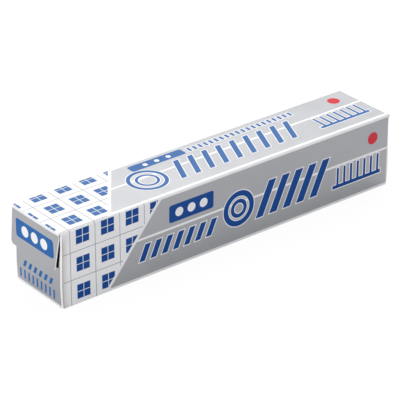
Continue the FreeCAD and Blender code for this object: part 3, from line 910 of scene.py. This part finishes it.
def thicken(piece, insideSlots, edgeSlot):
    # Inner faces take the slots after the outer ones, and cut edges the last slot. The
    # cut edges are rounded a little
    wall = piece.modifiers.new("boardThickness", "SOLIDIFY")
    wall.thickness = carton["board"]
    wall.offset = -1.0
    wall.use_even_offset = True
    wall.material_offset = insideSlots
    wall.material_offset_rim = edgeSlot
    bevel = piece.modifiers.new("softEdges", "BEVEL")
    bevel.width = carton["edgeRounding"]
    bevel.segments = 2
    bevel.limit_method = "ANGLE"
    bevel.angle_limit = math.radians(38.0)
    bevel.harden_normals = True
    bevel.use_clamp_overlap = True


makeCartonBody()
print("carton body folded")


# Carton lid: top panel, long flap, end flaps and their glued tabs, from one blank

lid = {
    "foldRadius": 0.7 * mm,
    "farCreaseBack": 3.4 * mm,  # from the flap's foot to the far crease, seen from above
    "flapHeight": 32.0 * mm,
    "endFold": 1.1 * mm,
    "endSlant": 7.0 * mm,
    "endPinch": 0.8 * mm,  # the end flaps lean in beside the hinge
    "rightPinch": 0.55 * mm,  # and the right one is drawn in at its crease too
    "earRadius": 3.5 * mm,
    "tabInset": 0.45 * mm,
    "tabLength": 16.0 * mm,
    "tabFoot": 4.1 * mm,
    "cornerCut": 3.5 * mm,
    "pinchRun": 9.0 * mm,  # how far from the hinge the two pinches fade
    "rightPinchRun": 7.0 * mm,
    "sag": 0.12 * mm,
    "wearRun": 1.0 * mm,
    "bareMargin": 0.55 * mm,
    "grid": 4.0 * mm,
}


def makeCartonLid():
    low, high = (np.array(corner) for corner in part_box("carton_lid"))
    fold = lid["foldRadius"]
    hinge, top = low[1], high[2]
    farCrease = high[1] - lid["farCreaseBack"]
    lean = math.atan(lid["farCreaseBack"] / lid["flapHeight"])
    turn = quarterTurn - lean
    farStart = farCrease - fold * math.tan(turn / 2)
    farArc = fold * turn
    flapRun = (lid["flapHeight"] - fold + fold * math.cos(turn)) / math.cos(lean)
    crease = carton["hingeFold"]
    nearTop = hinge + crease * (1.0 - math.sin(math.pi / 4))
    # Rows run from the hinge crease over the top and down the long flap
    rows = np.unique(np.round(np.concatenate([
        hinge + crease - np.linspace(0.0, crease * math.pi / 4, 7),
        stepsBetween([hinge + crease, farStart - beside, farStart], lid["grid"]),
        farStart + np.linspace(0.0, farArc, 7),
        farStart + farArc + stepsBetween([0.0, beside, flapRun - lid["tabFoot"], flapRun], 3 * mm),
    ]), 8))
    # Columns run along the roll, then down the end flaps or round into the tabs
    endFold = lid["endFold"]
    endStart = high[0] - endFold
    tabStart = high[0] - lid["tabInset"] - fold
    arc = fold * quarterTurn
    endArc = endFold * quarterTurn
    endRun = endStart + endArc - endFold
    earTurns = np.sin(np.linspace(0.0, quarterTurn, 9)) * lid["earRadius"]
    beyond = np.concatenate([
        tabStart + np.linspace(0.0, arc, 6), endStart + np.linspace(0.0, endArc, 7),
        tabStart + arc + stepsBetween([0.0, lid["tabLength"]], 3 * mm),
        endRun + stepsBetween([endFold, lid["flapHeight"] - lid["earRadius"]], 3 * mm),
        endRun + lid["flapHeight"] - lid["earRadius"] + earTurns])
    inner = stepsBetween([0.0, tabStart - lid["cornerCut"], min(tabStart, endStart) - beside,
                          min(tabStart, endStart)], lid["grid"])
    columns = mirrored(np.unique(np.round(np.concatenate([inner, beyond]), 8)))
    end = np.where(columns < 0, -1.0, 1.0)[None, :]
    reach = np.abs(columns)[None, :]
    row = rows[:, None]
    flapShare = np.clip((row - farStart - farArc) / flapRun, 0.0, 1.0)
    cut = np.clip(reach - (tabStart + fold - lid["cornerCut"]), 0.0, lid["tabFoot"])
    distance = np.where(flapShare > 0, farArc + flapShare * (flapRun - cut), row - farStart)
    along, down = rollOver(distance, fold, turn)
    curled = np.clip((hinge + crease - row) / crease, 0.0, math.pi / 4)
    y = np.where(curled > 0, hinge + crease - crease * np.sin(curled), farStart + along)
    z = np.where(curled > 0, top - crease * (1.0 - np.cos(curled)), top - down)
    isFlap = row > farStart + farArc - 1e-7
    isTop = row < farStart + 1e-7
    tabOut, tabIn = rollOver(reach - tabStart, fold)
    endOut, endDown = rollOver(reach - endStart, endFold)
    pinch = (1.0 - smoothStep((y - nearTop) / lid["pinchRun"])) * smoothStep(endDown / (4 * mm))
    drawn = lid["rightPinch"] * (1.0 - smoothStep((y - nearTop) / lid["rightPinchRun"])) * (end > 0)
    drawn = drawn * smoothStep((reach - endStart + 6 * mm) / (6 * mm))
    x = end * np.where(isFlap, tabStart + tabOut,
                       endStart + endOut - np.maximum(lid["endPinch"] * pinch, drawn))
    yTab = y - tabIn * math.cos(lean)
    zTab = z - tabIn * math.sin(lean)
    share = np.clip((y - nearTop) / (farStart - nearTop), 0.0, 1.0)
    drop = endDown / lid["flapHeight"]
    ear = np.clip(endDown - (lid["flapHeight"] - lid["earRadius"]), 0.0, lid["earRadius"])
    earIn = lid["earRadius"] - np.sqrt(np.maximum(lid["earRadius"] ** 2 - ear ** 2, 0.0))
    toCrease = (farCrease - farStart - 0.05 * mm) * smoothStep(endDown / (1.5 * mm))
    farShift = lid["farCreaseBack"] * drop + toCrease - earIn
    yEnd = y + (1.0 - share) * lid["endSlant"] * drop + share * farShift
    y = np.where(isFlap, yTab, np.where(isTop, yEnd, y))
    z = np.where(isFlap, zTab, np.where(isTop, z - endDown + (top - z) * drop, z))
    # The top panel hangs a little between its creases
    slack = np.clip(1.0 - (x / endStart) ** 2, 0.0, 1.0) ** 0.7
    slack = slack * np.sin(np.pi * np.clip((y - hinge) / (farCrease - hinge), 0.0, 1.0))
    z = z - np.where(isTop & (reach < endStart), lid["sag"] * slack, 0.0)
    points = np.stack(np.broadcast_arrays(x, y, z), axis=-1)

    rowMiddle = (rows[:-1] + rows[1:])[:, None] / 2
    columnMiddle = np.abs(columns[:-1] + columns[1:])[None, :] / 2
    topCell = rowMiddle < farStart
    flapCell = rowMiddle > farStart + farArc
    keep = ((columnMiddle < min(tabStart, endStart))
            | (topCell & (columnMiddle < endRun + lid["flapHeight"]))
            | (~topCell & ~flapCell & (columnMiddle < tabStart + fold))
            | (flapCell & (columnMiddle < tabStart + arc + lid["tabLength"])
               & (rowMiddle < farStart + farArc + flapRun)))
    slots = np.where(topCell, np.where(columnMiddle > endStart + endArc / 2, 1, 0),
                     np.where(rowMiddle > farStart + farArc / 2, 2, 0))
    slots = np.where(~topCell & (columnMiddle > tabStart + arc / 2), 3, slots)
    mesh = gridMesh("cartonLid", points, keep, slots.astype(int))
    place = vertexPlaces(mesh)
    toEnd = np.hypot(np.abs(place[:, 0]) - high[0], place[:, 2] - top)
    toFar = np.hypot(place[:, 1] - farCrease, place[:, 2] - top)
    toHinge = np.hypot(place[:, 1] - hinge, place[:, 2] - top)
    away = np.minimum(np.minimum(toEnd, toFar), toHinge)
    addValues(mesh, "fold", np.exp(-np.maximum(away - 0.4 * mm, 0.0) / lid["wearRun"]))
    # The end flaps have a bare margin along their slanted edge
    drop = (top - place[:, 2]) / lid["flapHeight"]
    toNear = place[:, 1] - nearTop - lid["endSlant"] * drop
    onEnd = smoothStep((drop - 0.1) / 0.1) * (np.abs(place[:, 0]) > endStart)
    addValues(mesh, "bare", np.clip(1.6 - toNear / lid["bareMargin"], 0.0, 1.0) * onEnd)
    piece = addPiece("cartonLid", mesh,
                     [topMaterial, endMaterial, farMaterial, whiteBoard, insideBoard, insideBoard,
                      insideBoard, insideBoard, cutBoard], "lid", "carton_lid")
    thicken(piece, 4, 8)
    return piece


hingeCrease = {
    "gap": 0.15 * mm,  # under the folded board
    "ply": 0.25 * mm,
    "tail": 1.4 * mm,
    "half": 152.0 * mm,
}


def makeHingeCrease():
    # The inner ply of the crease, curved round the hinge under the lid's board, so no gap opens
    # behind it
    hinge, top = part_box("carton_lid")[0][1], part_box("carton_lid")[1][2]
    fold = carton["hingeFold"]
    tail = hingeCrease["tail"]
    turns = np.linspace(0.0, quarterTurn, 15)
    outline = []
    for radius in (fold - carton["board"] - hingeCrease["gap"],
                   fold - carton["board"] - hingeCrease["gap"] - hingeCrease["ply"]):
        path = [(hinge + fold - radius, top - fold - tail)]
        path += [(hinge + fold - radius * math.cos(turn), top - fold + radius * math.sin(turn))
                 for turn in turns]
        path += [(hinge + fold + tail, top - fold + radius)]
        outline += path if not outline else path[::-1]
    outline = np.array(outline)
    along = stepsBetween([-hingeCrease["half"], hingeCrease["half"]], 4 * mm)
    points = np.stack(np.broadcast_arrays(along[None, :], outline[:, :1], outline[:, 1:]), axis=-1)
    mesh = gridMesh("hingeCrease", points, closeRows=True)
    shape = bmesh.new()
    shape.from_mesh(mesh)
    bmesh.ops.holes_fill(shape, edges=[edge for edge in shape.edges if edge.is_boundary], sides=0)
    bmesh.ops.recalc_face_normals(shape, faces=shape.faces)
    shape.to_mesh(mesh)
    shape.free()
    piece = bpy.data.objects.new("hingeCrease", mesh)
    bpy.context.scene.collection.objects.link(piece)
    mesh.materials.append(whiteBoard)
    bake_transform(piece)
    return piece


makeCartonLid()
makeHingeCrease()
print("carton lid folded")


# Roll: foil, core and guide reels, all turned about the roll's axis

roll = {
    "tailStep": 0.12 * mm,  # the loose end of the foil stands this much proud
    "ripple": 0.03 * mm,
    "turns": 192,
    "coreRounding": 0.25 * mm,
    "foilRounding": 0.15 * mm,
}
reel = {
    "rimRing": 2.4 * mm,
    "recess": 0.7 * mm,
    "bossWall": 2.0 * mm,
    "bore": 12.0 * mm,
    "barrel": 27.0 * mm,  # hub outside, between its ribs
    "hubWall": 1.6 * mm,
    "rimThickness": 1.8 * mm,
    "hubLength": 18.0 * mm,
    "ribHeight": 0.75 * mm,
    "ribCount": 6,
    "ribTurn": 0.12,  # radians across a rib
    "ribSetback": 3.0 * mm,
    "rounding": 0.3 * mm,
}


def roundedOutline(corners, radius, steps=4):
    # Each corner of a closed outline becomes a short curve between points set back from it
    corners = np.array(corners, dtype=float)
    before = np.roll(corners, 1, axis=0) - corners
    after = np.roll(corners, -1, axis=0) - corners
    lengthBefore = np.linalg.norm(before, axis=1, keepdims=True)
    lengthAfter = np.linalg.norm(after, axis=1, keepdims=True)
    back = np.minimum(radius, 0.45 * np.minimum(lengthBefore, lengthAfter))
    start = corners + before / lengthBefore * back
    finish = corners + after / lengthAfter * back
    share = np.linspace(0.0, 1.0, steps)[None, :, None]
    curve = ((1 - share) ** 2 * start[:, None] + 2 * share * (1 - share) * corners[:, None]
             + share ** 2 * finish[:, None])
    return curve.reshape(-1, 2)


def turnedPoints(outline, centre, radiusChange=None, turns=192):
    # An outline of (along, radius) carried round the roll's axis
    angle = np.linspace(0.0, 2 * np.pi, turns, endpoint=False)[:, None]
    along = outline[:, 0][None, :] + 0.0 * angle
    radius = outline[:, 1][None, :] + 0.0 * angle
    if radiusChange is not None:
        radius = radius + radiusChange(angle, along, radius)
    points = np.stack([along, centre[1] + radius * np.cos(angle),
                       centre[2] + radius * np.sin(angle)], axis=-1)
    return np.concatenate([points, points[:, :1]], axis=1)


def makeTurned(name, outline, centre, materials, replaced, radiusChange=None, turns=192):
    points = turnedPoints(outline, centre, radiusChange, turns)
    mesh = gridMesh(name, points, closeRows=True)
    piece = addPiece(name, mesh, materials, "roll", replaced)
    weld = piece.modifiers.new("joinSeam", "WELD")
    weld.merge_threshold = 0.00001
    return piece


metals = {
    "rolledFoil": {"pale": (226, 228, 231), "deep": (208, 211, 216), "roughness": (0.2, 0.34),
                   "lines": (0.12, 0.00005), "creased": True},
    "cutterSteel": {"pale": (196, 198, 201), "deep": (168, 171, 176), "roughness": (0.26, 0.42),
                    "lines": (0.2, 0.00004), "creased": False},
}


def makeMetalMaterial(name):
    # Rolled metal with fine lines along X; foil is creased as well
    settings = metals[name]
    material, tree, inputs, place = newMaterial(name)
    lines = useGroup(tree, fineLines, Place=place)
    tone = mixColours(tree, lines["Haze"], linearColour(*settings["pale"]),
                      linearColour(*settings["deep"]))
    feed(tree, tone, inputs["Base Color"])
    inputs["Metallic"].default_value = 1.0
    feed(tree, remap(tree, lines["Lines"], 0.3, 0.7, *settings["roughness"]), inputs["Roughness"])
    slow = None
    if settings["creased"]:
        creases = noiseField(tree, place, 55.0, 4.0, 0.6, (0.25, 1.0, 1.0))
        slow = bumpNormal(tree, creases, 0.4, 0.0006)
    feed(tree, bumpNormal(tree, lines["Lines"], *settings["lines"], slow), inputs["Normal"])
    return material


def makeFoilEndMaterial(centre):
    # The cut ends of the turns: many thin rings round the axis
    material, tree, inputs, place = newMaterial("foilTurnEnds")
    parts = tree.nodes.new("ShaderNodeSeparateXYZ")
    feed(tree, place, parts.inputs[0])
    squares = [reckon(tree, "POWER", minus(tree, parts.outputs[axis], middle), 2.0)
               for axis, middle in (("Y", centre[1]), ("Z", centre[2]))]
    radius = reckon(tree, "SQRT", reckon(tree, "ADD", *squares))
    rings = tree.nodes.new("ShaderNodeTexNoise")
    rings.noise_dimensions = "1D"
    rings.inputs["Scale"].default_value = 9000.0
    rings.inputs["Detail"].default_value = 2.0
    feed(tree, radius, rings.inputs["W"])
    tone = mixColours(tree, rings.outputs["Fac"], linearColour(150, 152, 156),
                      linearColour(222, 224, 228))
    feed(tree, tone, inputs["Base Color"])
    inputs["Metallic"].default_value = 1.0
    feed(tree, remap(tree, rings.outputs["Fac"], 0.3, 0.7, 0.28, 0.5), inputs["Roughness"])
    feed(tree, bumpNormal(tree, rings.outputs["Fac"], 0.5, 0.0001), inputs["Normal"])
    return material


def makeCoreMaterial():
    # Brown paper wound at a slant: one seam per turn of the strip
    material, tree, inputs, place = newMaterial("corePaper")
    fibres = noiseField(tree, place, 700.0, 4.0, 0.65, (0.3, 1.0, 1.0))
    cloud = noiseField(tree, place, 35.0, 3.0)
    tone = mixColours(tree, fibres, linearColour(186, 152, 112), linearColour(158, 124, 88))
    tone = mixColours(tree, remap(tree, cloud, 0.35, 0.7, 0.0, 0.4), tone,
                      linearColour(146, 114, 80))
    parts = tree.nodes.new("ShaderNodeSeparateXYZ")
    feed(tree, place, parts.inputs[0])
    climb = reckon(tree, "ADD", times(tree, parts.outputs["X"], 1000.0),
                   times(tree, parts.outputs["Z"], 900.0))
    within = reckon(tree, "FLOORED_MODULO", climb, 62.0)
    seam = maskOf(tree, stripe, Position=within, Middle=31.0, Half=0.35, Soft=0.3)
    feed(tree, mixColours(tree, seam, tone, linearColour(112, 84, 56)), inputs["Base Color"])
    inputs["Roughness"].default_value = 0.85
    height = minus(tree, fibres, times(tree, seam, 2.0))
    feed(tree, bumpNormal(tree, height, 0.4, 0.00012), inputs["Normal"])
    return material


def makeReelMaterial():
    # Dark moulded plastic with a fine spark finish and a few pale rub marks
    material, tree, inputs, place = newMaterial("reelPlastic")
    grain = noiseField(tree, place, 1600.0, 2.0, 0.5)
    cloud = noiseField(tree, place, 90.0, 4.0, 0.65)
    tone = mixColours(tree, remap(tree, cloud, 0.45, 0.75), linearColour(34, 36, 40),
                      linearColour(52, 54, 60))
    feed(tree, tone, inputs["Base Color"])
    feed(tree, remap(tree, grain, 0.3, 0.7, 0.42, 0.58), inputs["Roughness"])
    feed(tree, bumpNormal(tree, grain, 0.25, 0.00005), inputs["Normal"])
    return material


def makeRoll():
    low, high = (np.array(corner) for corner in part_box("foil_roll"))
    centre = (low + high) / 2
    outer = (high[2] - low[2]) / 2
    coreLow, coreHigh = (np.array(corner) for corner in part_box("paper_core"))
    coreOuter = (coreHigh[2] - coreLow[2]) / 2
    half = high[0]
    inner = coreOuter + 0.02 * mm

    def woundRadius(angle, along, radius):
        # The outermost turn climbs slowly to its loose end; faint ripples run along it
        share = np.clip((radius - inner) / (outer - inner), 0.0, 1.0) ** 6
        climb = -roll["tailStep"] * (1.0 - angle / (2 * np.pi))
        waves = -roll["ripple"] * (1.0 + np.sin(5 * angle + along / (31 * mm)) * np.sin(
            along / (17 * mm) + 2 * angle)) / 2
        return share * (climb + waves)

    outline = roundedOutline([(-half, inner), (-half, outer), (half, outer), (half, inner)],
                             roll["foilRounding"])
    outline = refined(outline, 3.0 * mm)
    foil = makeTurned("foilRoll", outline, centre,
                      [makeMetalMaterial("rolledFoil"), makeFoilEndMaterial(centre)],
                      "foil_roll", woundRadius, roll["turns"])
    normals = np.empty(len(foil.data.polygons) * 3)
    foil.data.polygons.foreach_get("normal", normals)
    isEnd = np.abs(normals.reshape(-1, 3)[:, 0]) > 0.7
    foil.data.polygons.foreach_set("material_index", isEnd.astype(np.int32))

    bore = coreOuter - 1.5 * mm
    outline = roundedOutline([(-half, bore), (-half, coreOuter), (half, coreOuter), (half, bore)],
                             roll["coreRounding"])
    makeTurned("paperCore", refined(outline, 6.0 * mm), centre, [makeCoreMaterial()],
               "paper_core", turns=96)
    plastic = makeReelMaterial()
    for name, node, end in (("guideReelLeft", "guide_reel_left", -1.0),
                            ("guideReelRight", "guide_reel_right", 1.0)):
        makeReel(name, node, end, centre, half, plastic)


def refined(outline, spacing):
    # Extra points on the long runs of a closed outline
    following = np.roll(outline, -1, axis=0)
    runs = [np.linspace(start, finish, max(1, math.ceil(np.linalg.norm(finish - start) / spacing)),
                        endpoint=False) for start, finish in zip(outline, following)]
    return np.concatenate(runs)


def makeReel(name, node, end, centre, coreEnd, plastic):
    low, high = (np.array(corner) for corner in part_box(node))
    rim = (high[2] - low[2]) / 2
    face = reel["rimThickness"]
    barrel = reel["barrel"] / 2
    bore = reel["bore"] / 2
    boss = bore + reel["bossWall"]
    hubInner = barrel - reel["hubWall"]
    sunk = face - reel["recess"]
    corners = [(0.0, bore), (face, bore), (face, boss), (sunk, boss), (sunk, rim - reel["rimRing"]),
               (face, rim - reel["rimRing"]), (face, rim), (0.0, rim), (0.0, barrel),
               (-reel["hubLength"], barrel), (-reel["hubLength"], hubInner), (0.0, hubInner)]
    outline = refined(roundedOutline(corners, reel["rounding"]), 1.5 * mm)
    outline = outline * np.array([end, 1.0]) + np.array([end * coreEnd, 0.0])
    if end > 0:
        outline = outline[::-1]

    def ribbed(angle, along, radius):
        # Six ribs along the hub, each with a sloping lead-in at the hub's end
        pitch = 2 * np.pi / reel["ribCount"]
        away = np.abs((angle + pitch / 2) % pitch - pitch / 2)
        crown = smoothStep((reel["ribTurn"] / 2 - away) / 0.03 + 0.5)
        depth = (coreEnd - end * along) / mm
        onHub = smoothStep(depth / 0.4) * smoothStep(
            (reel["hubLength"] / mm - depth) / (reel["ribSetback"] / mm))
        outside = (radius > barrel - 0.35 * mm) & (depth > 0.0)
        return reel["ribHeight"] * crown * onHub * outside

    makeTurned(name, outline, centre, [plastic], node, ribbed, 216)


makeRoll()
print("roll, core and reels turned")


# Cutter: the CAD strip keeps its shape and gets its steel

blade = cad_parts["cutter_blade"]
blade.data.materials.clear()
blade.data.materials.append(makeMetalMaterial("cutterSteel"))
print("cutter finished")
